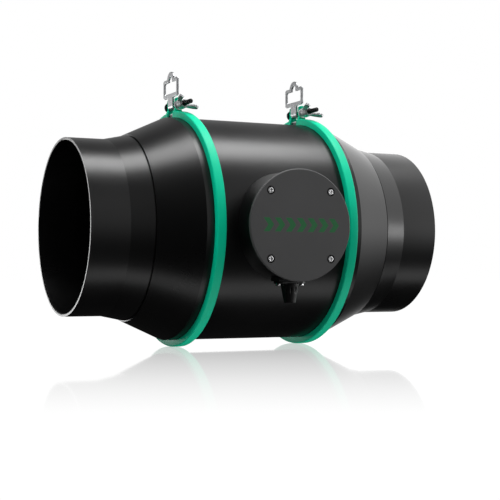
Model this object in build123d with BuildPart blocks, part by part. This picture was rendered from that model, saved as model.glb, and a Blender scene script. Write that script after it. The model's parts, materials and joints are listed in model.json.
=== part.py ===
"""Inline mixed-flow duct fan for 150 mm ducting, held by two clamp bands with hangers.

Frame: the origin is the centre of the inlet mouth, +X runs along the duct axis with
the airflow, +Z is up, towards the hangers, and the junction box faces -Y.
"""
import math
import os

from build123d import *

os.makedirs("parts", exist_ok=True)

# ---------------------------------------------------------------- driving sizes, mm
overall_length = 320.0
spigot_radius = 74.5
spigot_length = 33.0
flare_radius = 78.4
flare_end = 53.0
step_radius = 79.4
cone_end = 89.0
casing_radius = 95.8
shell_wall = 2.8
groove_depth = 0.7

joint_inset = 99.6
gasket_thickness = 0.6
flange_thickness = 2.3
flange_radius = 98.9

band_width = 8.0
band_radius = 101.7
band_inner_radius = 100.0
band_wall = 1.3
band_gap = 12.0
ear_thickness = 4.5
ear_top = 113.2
bolt_height = 106.5
bolt_radius = 2.0
bolt_end = 38.0
nut_seat = 16.0
nut_length = 8.0
running_clearance = 0.06
wing_angle = -32.0

hanger_sheet = 1.6
loop_width = 32.6
loop_bottom = 113.9
loop_top = 130.3

box_radius = 44.0
box_wall = 2.7
box_front = 117.4
cover_radius = 45.2
cover_thickness = 2.6
cover_screw_offset = 27.1
gland_depth = 100.5
gland_screw_offset = 10.4

blade_count = 9
vane_count = 11
shaft_radius = 4.0
bearing_radius = 11.0
bearing_width = 7.0

casing_bore = casing_radius - 3.0
middle = overall_length / 2
band_places = {"inlet": joint_inset, "outlet": overall_length - joint_inset}


def save(part, name):
    """Label a finished piece and write it to its own STEP file."""
    part.label = name
    export_step(part, f"parts/{name}.step")


def bolt_plane(x, depth):
    """Plane square to a clamp bolt, facing -Y, at the given distance towards -Y."""
    return Plane(origin=(x, -depth, bolt_height), x_dir=(1, 0, 0), z_dir=(0, -1, 0))


def duct_plane(x):
    """Plane square to the duct axis, facing +X."""
    return Plane.YZ.offset(x)


# ------------------------------------------------------------- end cones and gaskets
def make_cone(end_x):
    """Moulded reducer: spigot, flare, stepped shoulder, cone and clamp flange."""
    flange_face = joint_inset - gasket_thickness / 2
    outer = [
        (0, spigot_radius),
        (spigot_length, spigot_radius),
        (flare_end - 1.2, flare_radius),
        (flare_end - 1.2, flare_radius - groove_depth),
        (flare_end, flare_radius - groove_depth),
        (flare_end, step_radius),
        (cone_end, casing_radius),
        (flange_face - flange_thickness, casing_radius),
        (flange_face - flange_thickness, flange_radius),
        (flange_face, flange_radius),
    ]
    inner = [
        (flange_face, casing_bore),
        (cone_end + 0.7, casing_bore),
        (flare_end + 0.7, step_radius - shell_wall),
        (spigot_length + 0.3, spigot_radius - shell_wall + 0.3),
        (0, spigot_radius - shell_wall + 0.3),
    ]
    with BuildPart() as cone:
        with BuildSketch(Plane.XY):
            with BuildLine():
                Polyline(*[(end_x(x), r) for x, r in outer + inner], close=True)
            make_face()
        revolve(axis=Axis.X)
        mouth_edges = cone.edges().filter_by(GeomType.CIRCLE).group_by(Axis.X)
        mouth = mouth_edges[0] if end_x(1) > end_x(0) else mouth_edges[-1]
        fillet(mouth.sort_by(SortBy.RADIUS)[0], 0.9)
    return cone.part


def make_gasket(x):
    """Flat foam ring squeezed between a cone flange and the casing flange."""
    with BuildPart() as gasket:
        with BuildSketch(duct_plane(x - gasket_thickness / 2)):
            Circle(flange_radius - 0.3)
            Circle(casing_bore + 0.3, mode=Mode.SUBTRACT)
        extrude(amount=gasket_thickness)
    return gasket.part


save(make_cone(lambda x: x), "inlet_cone")
save(make_cone(lambda x: overall_length - x), "outlet_cone")
for end, place in band_places.items():
    save(make_gasket(place), f"{end}_gasket")


# ------------------------------------------------- central casing with junction box
casing_start = joint_inset + gasket_thickness / 2
casing_stop = overall_length - casing_start
web_thickness = 2.1
web_radius = 94.0
box_floor = 84.0
lead_x = 168.0
lead_hole = 4.6
lead_exit = 24.0
standoff_x = 20.0
standoff_z = 17.0
board_back = 99.2
board_thickness = 1.6
pad_bottom = -45.0

cover_screws_at = [
    (middle + sx * cover_screw_offset, sz * cover_screw_offset)
    for sx in (-1, 1)
    for sz in (-1, 1)
]
gland_screws_at = [(middle + s * gland_screw_offset, -gland_depth) for s in (-1, 1)]
board_screws_at = [
    (middle + sx * standoff_x, sz * standoff_z) for sx in (-1, 1) for sz in (-1, 1)
]

pad_size = (29, 13)
pad_height = 10.0
boss_radius = 4.2
standoff_radius = 3.0
pilot_m3 = 1.27
pilot_m4 = 1.52

with BuildPart() as casing_barrel:
    # Tubular wall with a clamp flange at each end.
    with BuildSketch(Plane.XY):
        with BuildLine():
            Polyline(
                (casing_start, casing_bore),
                (casing_start, flange_radius),
                (casing_start + flange_thickness, flange_radius),
                (casing_start + flange_thickness, casing_radius),
                (casing_stop - flange_thickness, casing_radius),
                (casing_stop - flange_thickness, flange_radius),
                (casing_stop, flange_radius),
                (casing_stop, casing_bore),
                close=True,
            )
        make_face()
    revolve(axis=Axis.X)
    # Standoffs for the driver board, inside the junction box.
    with BuildSketch(Plane.XZ.offset(casing_bore)):
        with Locations(*board_screws_at):
            Circle(standoff_radius)
    extrude(amount=board_back - casing_bore)
    with BuildSketch(duct_plane(casing_start)):
        Circle(casing_bore)
    extrude(amount=casing_stop - casing_start, mode=Mode.SUBTRACT)
    # The rebate that the bellmouth drops into, screw holes and the motor lead's hole.
    with BuildSketch(duct_plane(casing_start)):
        Circle(web_radius + 0.1)
    extrude(amount=web_thickness, mode=Mode.SUBTRACT)
    with BuildSketch(Plane.XZ.offset(board_back - 4.5)):
        with Locations(*board_screws_at):
            Circle(pilot_m3)
    extrude(amount=4.5, mode=Mode.SUBTRACT)
    with BuildSketch(Plane.XZ.offset(casing_bore - 6)):
        with Locations((lead_x, 0)):
            Circle(lead_hole)
    extrude(amount=12, mode=Mode.SUBTRACT)
save(casing_barrel.part, "casing_barrel")

with BuildPart() as junction_box:
    # Round wall standing out towards -Y, with its cover-screw bosses and gland pad.
    with BuildSketch(Plane.XZ.offset(box_floor)):
        with Locations((middle, 0)):
            Circle(box_radius)
    extrude(amount=box_front - box_floor)
    with BuildSketch(Plane.XY.offset(pad_bottom)):
        with Locations((middle, -gland_depth)):
            RectangleRounded(*pad_size, 2)
    extrude(amount=pad_height)
    with BuildSketch(Plane.XZ.offset(box_floor)):
        with Locations((middle, 0)):
            Circle(box_radius - box_wall)
    extrude(amount=box_front - box_floor, mode=Mode.SUBTRACT)
    with BuildSketch(Plane.XZ.offset(box_floor)):
        with Locations(*cover_screws_at):
            Circle(boss_radius)
    extrude(amount=box_front - box_floor)
    # The back edge follows the barrel that it is bonded to.
    with BuildSketch(duct_plane(middle - 2 * box_radius)):
        Circle(casing_radius)
    extrude(amount=4 * box_radius, mode=Mode.SUBTRACT)
    with BuildSketch(Plane.XZ.offset(box_front - 14)):
        with Locations(*cover_screws_at):
            Circle(pilot_m4)
    extrude(amount=14, mode=Mode.SUBTRACT)
    with BuildSketch(Plane.XY.offset(pad_bottom)):
        with Locations((middle, -gland_depth)):
            Circle(5.5)
        with Locations(*gland_screws_at):
            Circle(pilot_m3)
    extrude(amount=5.2, mode=Mode.SUBTRACT)
save(junction_box.part, "junction_box")


# ---------------------------------------------------------------- junction box parts
with BuildPart() as junction_cover:
    with BuildSketch(Plane.XZ.offset(box_front + gasket_thickness)):
        with Locations((middle, 0)):
            Circle(cover_radius)
    extrude(amount=cover_thickness)
    front_edge = junction_cover.edges().sort_by(Axis.Y)[0]
    chamfer(front_edge, 0.7)
    # Locating lip that drops inside the box wall, relieved around the screw bosses.
    with BuildSketch(Plane.XZ.offset(box_front - 2)):
        with Locations((middle, 0)):
            Circle(box_radius - box_wall - 0.3)
            Circle(box_radius - box_wall - 1.8, mode=Mode.SUBTRACT)
        with Locations(*cover_screws_at):
            Circle(4.8, mode=Mode.SUBTRACT)
    extrude(amount=2 + gasket_thickness)
    with BuildSketch(Plane.XZ.offset(box_front - 2)):
        with Locations(*cover_screws_at):
            Circle(1.8)
    extrude(amount=10, mode=Mode.SUBTRACT)
    with BuildSketch(Plane.XZ.offset(box_front + gasket_thickness + 1.0)):
        with Locations(*cover_screws_at):
            Circle(3.5)
    extrude(amount=3, mode=Mode.SUBTRACT)
save(junction_cover.part, "junction_cover")

with BuildPart() as cover_gasket:
    with BuildSketch(Plane.XZ.offset(box_front)):
        with Locations((middle, 0)):
            Circle(box_radius)
            Circle(box_radius - box_wall + 0.2, mode=Mode.SUBTRACT)
    extrude(amount=gasket_thickness)
save(cover_gasket.part, "cover_gasket")


def make_cross_screws(plane, places, head_radius, head_height, shank_radius, shank_length):
    """Pan-head screws with cross recesses; the plane is the seat, facing outwards."""
    with BuildPart() as screws:
        with BuildSketch(plane):
            with Locations(*places):
                Circle(head_radius)
        extrude(amount=head_height)
        fillet(screws.faces().sort_by(plane_axis(plane))[-len(places):].edges(), head_height * 0.4)
        with BuildSketch(plane.offset(-shank_length)):
            with Locations(*places):
                Circle(shank_radius)
        extrude(amount=shank_length)
        with BuildSketch(plane.offset(head_height - head_height * 0.55)):
            with Locations(*places):
                Rectangle(head_radius * 1.2, head_radius * 0.3)
                Rectangle(head_radius * 0.3, head_radius * 1.2)
        extrude(amount=head_height, mode=Mode.SUBTRACT)
    return screws.part


def plane_axis(plane):
    """Axis through the plane's origin along its normal."""
    return Axis(plane.origin, plane.z_dir)


cover_seat = Plane.XZ.offset(box_front + gasket_thickness + 1.0)
save(make_cross_screws(cover_seat, cover_screws_at, 2.5, 1.5, 1.5, 12), "cover_screws")

gland_flange_bottom = pad_bottom - 2.0
gland_tip = -62.5
gland_bore = 3.5
with BuildPart() as cable_gland:
    with BuildSketch(Plane.XY.offset(gland_flange_bottom)):
        with Locations((middle, -gland_depth)):
            SlotOverall(28, 11)
    extrude(amount=pad_bottom - gland_flange_bottom)
    with BuildSketch(Plane.XY.offset(pad_bottom)):
        with Locations((middle, -gland_depth)):
            Circle(5.4)
    extrude(amount=5.5)
    # Tapered strain relief with flutes along its length.
    with BuildSketch(Plane.XY.offset(gland_flange_bottom)):
        with Locations((middle, -gland_depth)):
            Circle(7.75)
    with BuildSketch(Plane.XY.offset(gland_tip)):
        with Locations((middle, -gland_depth)):
            Circle(4.7)
    loft()
    with BuildSketch(Plane.XY.offset(gland_tip + 1.6)):
        with Locations((middle, -gland_depth)):
            with PolarLocations(8.3, 10):
                Rectangle(4.4, 1.2)
    extrude(amount=11.5, mode=Mode.SUBTRACT)
    with BuildSketch(Plane.XY.offset(gland_tip)):
        with Locations((middle, -gland_depth)):
            Circle(gland_bore)
        with Locations(*gland_screws_at):
            Circle(1.4)
    extrude(amount=40, mode=Mode.SUBTRACT)
save(cable_gland.part, "cable_gland")

gland_seat = Plane(origin=(0, 0, gland_flange_bottom), x_dir=(1, 0, 0), z_dir=(0, 0, -1))
gland_places = [(x, -y) for x, y in gland_screws_at]
save(make_cross_screws(gland_seat, gland_places, 2.3, 1.8, 1.25, 5.5), "gland_screws")

board_front = board_back + board_thickness
terminal_z = -11.0
terminal_pitch = 7.0
terminal_places = [(middle + terminal_pitch * k, terminal_z + 2) for k in (-1.5, -0.5, 0.5, 1.5)]
with BuildPart() as driver_board:
    with BuildSketch(Plane.XZ.offset(board_back)):
        with Locations((middle, 0)):
            RectangleRounded(50, 43, 2)
        with Locations(*board_screws_at):
            Circle(1.5, mode=Mode.SUBTRACT)
        with Locations((lead_x + 4, 14)):
            Circle(3.6, mode=Mode.SUBTRACT)
    extrude(amount=board_thickness)
save(driver_board.part, "driver_board")

board_seat = Plane.XZ.offset(board_front)
save(make_cross_screws(board_seat, board_screws_at, 2.4, 1.5, 1.25, 5.5), "board_screws")

with BuildPart() as terminal_block:
    with BuildSketch(Plane.XZ.offset(board_front)):
        with Locations((middle, terminal_z)):
            Rectangle(4 * terminal_pitch + 2, 10)
    extrude(amount=10)
    with BuildSketch(Plane.XZ.offset(board_front + 4)):
        with Locations(*terminal_places):
            Circle(2.3)
    extrude(amount=10, mode=Mode.SUBTRACT)
    with BuildSketch(Plane.XY.offset(terminal_z - 5)):
        with Locations(*[(x, -board_front - 4) for x, z in terminal_places]):
            Rectangle(4, 3)
    extrude(amount=3.5, mode=Mode.SUBTRACT)
save(terminal_block.part, "terminal_block")

terminal_seat = Plane.XZ.offset(board_front + 5)
save(make_cross_screws(terminal_seat, terminal_places, 2.1, 1.6, 1.2, 1.0), "terminal_screws")

capacitor_places = [(middle - 12, 9), (middle + 2, 9)]
with BuildPart() as bulk_capacitors:
    with BuildSketch(Plane.XZ.offset(board_front)):
        with Locations(*capacitor_places):
            Circle(5.8)
    extrude(amount=14)
    fillet(bulk_capacitors.faces().sort_by(Axis.Y)[:2].edges(), 0.8)
save(bulk_capacitors.part, "bulk_capacitors")


# ------------------------------------------------------------ clamp bands and hangers
def make_band(x):
    """One-piece U-section band, split at the top between two upright ears."""
    half = band_width / 2
    with BuildPart() as band:
        with BuildSketch(Plane.XY):
            with BuildLine():
                Polyline(
                    (x - half, casing_radius + 0.3),
                    (x - half, band_radius),
                    (x + half, band_radius),
                    (x + half, casing_radius + 0.3),
                    (x + half - band_wall, casing_radius + 0.3),
                    (x + half - band_wall, band_inner_radius),
                    (x - half + band_wall, band_inner_radius),
                    (x - half + band_wall, casing_radius + 0.3),
                    close=True,
                )
            outline = make_face()
            fillet(outline.vertices().group_by(Axis.Y)[-1], 1.1)
        revolve(axis=Axis.X)
        with BuildSketch(Plane.XY.offset(band_radius / 2)):
            with Locations((x, 0)):
                Rectangle(band_width * 2, band_gap)
        extrude(amount=band_radius, mode=Mode.SUBTRACT)
        for start in (band_gap / 2, -band_gap / 2 - ear_thickness):
            with BuildSketch(Plane.XZ.offset(start)):
                with BuildLine():
                    Polyline(
                        (x - 3.6, band_inner_radius + 0.6),
                        (x - 2.3, 104.2),
                        (x - 2.3, ear_top),
                        (x + 2.3, ear_top),
                        (x + 2.3, 104.2),
                        (x + 3.6, band_inner_radius + 0.6),
                        close=True,
                    )
                outline = make_face()
                fillet(outline.vertices().group_by(Axis.Y)[-1], 1.6)
            extrude(amount=ear_thickness)
        with BuildSketch(bolt_plane(x, -20)):
            Circle(bolt_radius + 0.15)
        extrude(amount=40, mode=Mode.SUBTRACT)
    return band.part


def make_bridge(x):
    """Thin steel strip under the split, sliding inside the band."""
    with BuildPart() as bridge:
        with BuildSketch(duct_plane(x - 2.4)):
            Circle(band_inner_radius - 0.15)
            Circle(flange_radius + 0.15, mode=Mode.SUBTRACT)
            with Locations((0, 60)):
                Rectangle(2 * band_radius, 120, mode=Mode.INTERSECT)
            Rectangle(30, 3 * band_radius, mode=Mode.INTERSECT)
        extrude(amount=4.8)
    return bridge.part


def make_bolt(x):
    """Round-head clamp bolt; the head has a hexagon socket and faces +Y."""
    head_seat = band_gap / 2 + ear_thickness
    with BuildPart() as bolt:
        with BuildSketch(bolt_plane(x, -head_seat - 3.4)):
            Circle(4.4)
        extrude(amount=3.4)
        fillet(bolt.edges().group_by(Axis.Y)[-1], 1.5)
        with BuildSketch(bolt_plane(x, -head_seat)):
            Circle(bolt_radius)
        extrude(amount=head_seat + bolt_end)
        chamfer(bolt.edges().group_by(Axis.Y)[0], 0.5)
        with BuildSketch(bolt_plane(x, -head_seat - 3.4)):
            RegularPolygon(1.75, 6)
        extrude(amount=2, mode=Mode.SUBTRACT)
    return bolt.part


washer_thickness = 0.8
washer_start = band_gap / 2 + ear_thickness


def make_tube(x, start, length, radius):
    """Ring around a clamp bolt, from a start distance towards -Y."""
    with BuildPart() as tube:
        with BuildSketch(bolt_plane(x, start)):
            Circle(radius)
            Circle(bolt_radius + running_clearance, mode=Mode.SUBTRACT)
        extrude(amount=length)
    return tube.part


def make_wing_nut(x):
    """Wing nut whose two wings sweep outwards, clear of the band as it spins."""
    angle = math.radians(wing_angle)
    wing_plane = Plane(
        origin=(x, -nut_seat, bolt_height),
        x_dir=(math.cos(angle), 0, math.sin(angle)),
        z_dir=(math.sin(angle), 0, -math.cos(angle)),
    )
    with BuildPart() as nut:
        with BuildSketch(bolt_plane(x, nut_seat)):
            Circle(4.6)
        extrude(amount=nut_length, taper=6)
        with BuildSketch(wing_plane):
            with BuildLine():
                Polyline((2, 1.5), (4.3, 2.4), (9.2, 14.6), (9.6, 17.6), (8.2, 19.2), (5.8, 18.2),
                         (3.6, 8.5), (2, 8), close=True)
            outline = make_face()
            fillet(outline.vertices().group_by(Axis.Y)[-4:], 0.9)
            mirror(about=Plane.YZ)
        extrude(amount=1.1, both=True)
        with BuildSketch(bolt_plane(x, nut_seat - 1)):
            Circle(bolt_radius + running_clearance)
        extrude(amount=25, mode=Mode.SUBTRACT)
    return nut.part


def make_hanger(x):
    """Stamped hanging eye whose tongue curls round the clamp bolt."""
    curl_inner = bolt_radius + 0.09
    curl_outer = curl_inner + hanger_sheet
    tongue = 11.0
    with BuildPart() as hanger:
        with BuildSketch(Plane.XZ.offset(-tongue / 2)):
            with Locations((x, bolt_height)):
                Circle(curl_outer)
            with Locations((x - curl_outer / 2, bolt_height + 4)):
                Rectangle(curl_outer, 8)
            with Locations((x, bolt_height)):
                Circle(curl_inner, mode=Mode.SUBTRACT)
            with Locations((x - curl_inner + 4, bolt_height + 1.4 + 5)):
                Rectangle(8, 10, mode=Mode.SUBTRACT)
            with Locations((x - curl_inner + 1, bolt_height + 2)):
                Rectangle(2, 4, mode=Mode.SUBTRACT)
        extrude(amount=tongue)
        with BuildSketch(duct_plane(x - curl_outer)):
            with Locations((0, (loop_bottom + loop_top) / 2)):
                RectangleRounded(loop_width, loop_top - loop_bottom, 2.2)
            with Locations((0, loop_top - 2)):
                Circle(8.1)
            with Locations((0, (117.4 + 127.3) / 2)):
                RectangleRounded(26.4, 127.3 - 117.4, 1.2, mode=Mode.SUBTRACT)
            with Locations((0, 127.8)):
                SlotOverall(8.6, 6.5, rotation=90, mode=Mode.SUBTRACT)
            with Locations((0, bolt_height + 6)):
                Rectangle(tongue, 6)
        extrude(amount=hanger_sheet)
    return hanger.part


for end, place in band_places.items():
    save(make_band(place), f"{end}_clamp_band")
    save(make_bridge(place), f"{end}_band_bridge")
    save(make_bolt(place), f"{end}_clamp_bolt")
    save(make_tube(place, washer_start, washer_thickness, 4.2), f"{end}_clamp_washer")
    sleeve_start = washer_start + washer_thickness
    save(make_tube(place, sleeve_start, nut_seat - sleeve_start, 3.1), f"{end}_clamp_sleeve")
    save(make_wing_nut(place), f"{end}_wing_nut")
    save(make_hanger(place), f"{end}_hanger")


# ------------------------------------------------------------------ air path, fixed
shroud_stop = 138.0
throat_x = 100.0
throat_radius = 67.0
shroud_radius = 86.0
with BuildPart() as inlet_bellmouth:
    with BuildSketch(Plane.XY):
        with BuildLine():
            ThreePointArc((89, 76), (93.2, 69.6), (throat_x, throat_radius))
            Polyline(
                (throat_x, throat_radius),
                (shroud_stop, shroud_radius),
                (shroud_stop, shroud_radius + 2.2),
                (casing_start + web_thickness, throat_radius + 3.2),
                (casing_start + web_thickness, web_radius),
                (casing_start, web_radius),
                (casing_start, throat_radius + 2.4),
            )
            ThreePointArc((casing_start, throat_radius + 2.4), (94.8, 71.6), (91.2, 76.8))
            Line((91.2, 76.8), (89, 76))
        make_face()
    revolve(axis=Axis.X)
save(inlet_bellmouth.part, "inlet_bellmouth")

hub_start = 144.5
hub_stop = 208.0
hub_front_radius = 53.0
hub_back_radius = 42.0
hub_wall = 2.4
vane_start = 150.0
vane_stop = 206.0
ring_radius = casing_bore - 0.1
ring_wall = 2.0
mount_plate = 3.0
mount_screw_circle = 40.0


def blade_section(x, radius, stagger, chord, camber, thickness):
    """Curved blade section on the plane that is square to +Y at the given radius."""
    angle = math.radians(stagger)
    along = Vector(math.cos(angle), math.sin(angle))
    across = Vector(-math.sin(angle), math.cos(angle))
    with BuildSketch(Plane(origin=(x, radius, 0), x_dir=(1, 0, 0), z_dir=(0, 1, 0))) as section:
        with BuildLine(mode=Mode.PRIVATE) as spine:
            ThreePointArc(along * (-chord / 2), across * camber, along * (chord / 2))
        SlotArc(spine.edge(), thickness)
    return section.sketch


vane_chord = 56.0
vane_camber = 5.0
vane_thickness = 2.2
tail_radius = hub_back_radius - hub_wall
spigot_lip = 16.0
lead_way = 3.1


def hub_outside(x):
    """Outer radius of the motor hub's cone at a place along the duct."""
    share = (x - hub_start) / (hub_stop - hub_start)
    return hub_front_radius + share * (hub_back_radius - hub_front_radius)


with BuildPart() as vane:
    for radius, stagger in ((48, -14), (70, -16), (98, -18)):
        vane_middle = (vane_start + vane_stop) / 2
        add(blade_section(vane_middle, radius, stagger, vane_chord, vane_camber, vane_thickness))
    loft()
    with BuildSketch(Plane.XY):
        with BuildLine():
            Polyline(
                (vane_start, hub_outside(vane_start)),
                (vane_start, ring_radius - ring_wall),
                (vane_stop, ring_radius - ring_wall),
                (vane_stop, hub_outside(vane_stop)),
                close=True,
            )
        make_face()
    revolve(axis=Axis.X, mode=Mode.INTERSECT)

with BuildPart() as guide_vanes:
    for index in range(vane_count):
        add(vane.part.rotate(Axis.X, index * 360 / vane_count))
    with BuildSketch(Plane.XZ.offset(hub_back_radius)):
        with Locations((lead_x, 0)):
            Circle(lead_way)
    extrude(amount=60, mode=Mode.SUBTRACT)
save(guide_vanes.part, "guide_vanes")

with BuildPart() as vane_ring:
    with BuildSketch(duct_plane(vane_start - 2)):
        Circle(ring_radius)
        Circle(ring_radius - ring_wall, mode=Mode.SUBTRACT)
    extrude(amount=vane_stop - vane_start + 4)
    with BuildSketch(Plane.XZ.offset(85)):
        with Locations((lead_x, 0)):
            Circle(lead_hole + 2)
    extrude(amount=20, mode=Mode.SUBTRACT)
save(vane_ring.part, "vane_ring")

with BuildPart() as motor_hub:
    with BuildSketch(Plane.XY):
        with BuildLine():
            Polyline(
                (hub_start, hub_front_radius),
                (hub_stop, hub_back_radius),
                (hub_stop, tail_radius),
                (hub_start + mount_plate + hub_wall, hub_front_radius - hub_wall - 0.8),
                (hub_start + mount_plate + hub_wall, spigot_lip),
                (hub_start + mount_plate, spigot_lip),
                (hub_start + mount_plate, hub_front_radius - hub_wall),
                (hub_start, hub_front_radius - hub_wall),
                close=True,
            )
        make_face()
    revolve(axis=Axis.X)
    with BuildSketch(Plane.XZ.offset(30)):
        with Locations((lead_x, 0)):
            Circle(lead_way)
    extrude(amount=40, mode=Mode.SUBTRACT)
    with BuildSketch(duct_plane(hub_start)):
        with PolarLocations(mount_screw_circle, 4, start_angle=45):
            Circle(pilot_m4)
        with Locations((-lead_exit, 0)):
            Circle(lead_way)
    extrude(amount=12, mode=Mode.SUBTRACT)
save(motor_hub.part, "motor_hub")

tail_tip = 231.0
cap_wall = 2.2
tail_rise = tail_tip - hub_stop
tail_sphere = (tail_rise**2 + hub_back_radius**2) / (2 * tail_rise)
tail_lip = hub_back_radius - hub_wall - 0.3


def dome_point(tip, sphere, side, height):
    """Point at a height above the axis on a sphere whose pole is the tip."""
    return (tip + side * (sphere - math.sqrt(sphere**2 - height**2)), height)


with BuildPart() as tail_cap:
    with BuildSketch(Plane.XY):
        with BuildLine():
            ThreePointArc(
                (hub_stop, hub_back_radius), dome_point(tail_tip, tail_sphere, -1, 24), (tail_tip, 0)
            )
            Line((tail_tip, 0), (tail_tip - cap_wall, 0))
            inside = dome_point(tail_tip - cap_wall, tail_sphere - cap_wall, -1, tail_lip - 2)
            ThreePointArc(
                (tail_tip - cap_wall, 0),
                dome_point(tail_tip - cap_wall, tail_sphere - cap_wall, -1, 20),
                inside,
            )
            Polyline(
                inside,
                (hub_stop - 4, tail_lip - 2),
                (hub_stop - 4, tail_lip),
                (hub_stop, tail_lip),
                (hub_stop, hub_back_radius),
            )
        make_face()
    revolve(axis=Axis.X)
save(tail_cap.part, "tail_cap")


# --------------------------------------------------------------------- motor, fixed
mount_face = hub_start + mount_plate
front_bearing_start = 122.0
rear_bearing_start = mount_face - bearing_width
core_start = 121.5
core_stop = 137.0
tube_radius = bearing_radius + 2.0
core_radius = 30.4
slot_count = 12

with BuildPart() as motor_mount:
    with BuildSketch(duct_plane(hub_start)):
        Circle(hub_front_radius - hub_wall - 0.1)
    extrude(amount=mount_plate)
    with BuildSketch(duct_plane(front_bearing_start - 1)):
        Circle(tube_radius)
    extrude(amount=mount_face - front_bearing_start + 1)
    with BuildSketch(duct_plane(front_bearing_start - 5)):
        Circle(bearing_radius - 2)
    extrude(amount=40, mode=Mode.SUBTRACT)
    with BuildSketch(duct_plane(front_bearing_start - 1)):
        Circle(bearing_radius)
    extrude(amount=bearing_width + 1, mode=Mode.SUBTRACT)
    with BuildSketch(duct_plane(rear_bearing_start)):
        Circle(bearing_radius)
    extrude(amount=bearing_width, mode=Mode.SUBTRACT)
    with BuildSketch(duct_plane(hub_start - 1)):
        with PolarLocations(mount_screw_circle, 4, start_angle=45):
            Circle(1.7)
        with Locations((-lead_exit, 0)):
            Circle(lead_way)
    extrude(amount=10, mode=Mode.SUBTRACT)
save(motor_mount.part, "motor_mount")

mount_seat = Plane(origin=(hub_start, 0, 0), x_dir=(0, 1, 0), z_dir=(-1, 0, 0))
mount_corner = mount_screw_circle * math.sqrt(0.5)
mount_places = [(sy * mount_corner, sz * mount_corner) for sy in (-1, 1) for sz in (-1, 1)]
save(make_cross_screws(mount_seat, mount_places, 2.8, 1.8, 1.5, 8), "mount_screws")


def make_bearing(start):
    """Sealed deep-groove bearing, with shallow recesses where its shields sit."""
    with BuildPart() as bearing:
        with BuildSketch(duct_plane(start)):
            Circle(bearing_radius)
            Circle(shaft_radius + 0.03, mode=Mode.SUBTRACT)
        extrude(amount=bearing_width)
        for side in (start, start + bearing_width - 0.6):
            with BuildSketch(duct_plane(side)):
                Circle(9.2)
                Circle(6.2, mode=Mode.SUBTRACT)
            extrude(amount=0.6, mode=Mode.SUBTRACT)
    return bearing.part


save(make_bearing(front_bearing_start), "front_bearing")
save(make_bearing(rear_bearing_start), "rear_bearing")

tooth_width = 5.0
tooth_root = 17.0
shoe_start = core_radius - 2.4
with BuildPart() as stator_core:
    with BuildSketch(duct_plane(core_start)):
        Circle(tooth_root)
        with PolarLocations((tooth_root + shoe_start) / 2, slot_count):
            Rectangle(shoe_start - tooth_root + 3, tooth_width)
        Circle(tube_radius, mode=Mode.SUBTRACT)
    extrude(amount=core_stop - core_start)
    with BuildSketch(duct_plane(core_start)):
        Circle(core_radius)
        Circle(shoe_start, mode=Mode.SUBTRACT)
        with PolarLocations(core_radius, slot_count, start_angle=180 / slot_count):
            Rectangle(10, 2.6, mode=Mode.SUBTRACT)
    extrude(amount=core_stop - core_start)
save(stator_core.part, "stator_core")

coil_start = tooth_root + 0.9
coil_stop = shoe_start - 0.6
coil_overhang = 2.8
with BuildPart() as stator_windings:
    with BuildSketch(duct_plane(core_start - coil_overhang)):
        with PolarLocations((coil_start + coil_stop) / 2, slot_count):
            Rectangle(coil_stop - coil_start, 8.6)
    extrude(amount=core_stop - core_start + 2 * coil_overhang)
    with BuildSketch(duct_plane(core_start)):
        with PolarLocations((coil_start + coil_stop) / 2, slot_count):
            Rectangle(coil_stop - coil_start + 2, tooth_width)
    extrude(amount=core_stop - core_start, mode=Mode.SUBTRACT)
save(stator_windings.part, "stator_windings")

# Motor lead: out of the hub, across the air path and through the casing to the board.
lead_radius = 2.4
with BuildPart() as motor_lead:
    with BuildLine() as lead_route:
        FilletPolyline(
            (mount_face - 2.5, -lead_exit, 0),
            (lead_x, -lead_exit, 0),
            (lead_x, -board_back + 1, 0),
            radius=14,
        )
    with BuildSketch(Plane(origin=(mount_face - 2.5, -lead_exit, 0), z_dir=(1, 0, 0))):
        Circle(lead_radius)
    sweep(path=lead_route.wire())
save(motor_lead.part, "motor_lead")

with BuildPart() as lead_grommet:
    with BuildSketch(Plane.XZ.offset(casing_bore - 1.2)):
        with Locations((lead_x, 0)):
            Circle(lead_hole - 0.05)
            Circle(lead_radius + 0.02, mode=Mode.SUBTRACT)
    extrude(amount=5.6)
save(lead_grommet.part, "lead_grommet")


# ------------------------------------------------------------------------- rotor
impeller_start = 108.0
impeller_stop = 142.0
hub_nose_radius = 36.2
hub_rim_radius = 52.8
plate_start = 110.0
plate_thickness = 2.4
rotor_radius = 35.5
rotor_face = plate_start + plate_thickness
blade_gap = 0.9
hub_step = 119.0
hub_lip = 130.0
screw_circle = 20.0


def hub_radius(x):
    """Radius of the impeller hub's cone at a place along the duct."""
    share = (x - impeller_start) / (impeller_stop - impeller_start)
    return hub_nose_radius + share * (hub_rim_radius - hub_nose_radius)


def shroud_radius_at(x):
    """Inner radius of the bellmouth's shroud at a place along the duct."""
    share = (x - throat_x) / (shroud_stop - throat_x)
    return throat_radius + share * (shroud_radius - throat_radius)


blade_start = 110.5
blade_stop = 137.0
with BuildPart() as blade:
    for radius, stagger, chord in ((26, 34, 34), (60, 46, 42), (96, 56, 52)):
        add(blade_section((blade_start + blade_stop) / 2, radius, stagger, chord, -4, 2.0))
    loft()
    with BuildSketch(Plane.XY):
        with BuildLine():
            Polyline(
                (blade_start, hub_radius(blade_start) - 0.8),
                (blade_start + 2.5, shroud_radius_at(blade_start + 2.5) - blade_gap),
                (blade_stop, shroud_radius_at(blade_stop) - blade_gap),
                (blade_stop, hub_radius(blade_stop) - 0.8),
                close=True,
            )
        make_face()
    revolve(axis=Axis.X, mode=Mode.INTERSECT)

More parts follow.
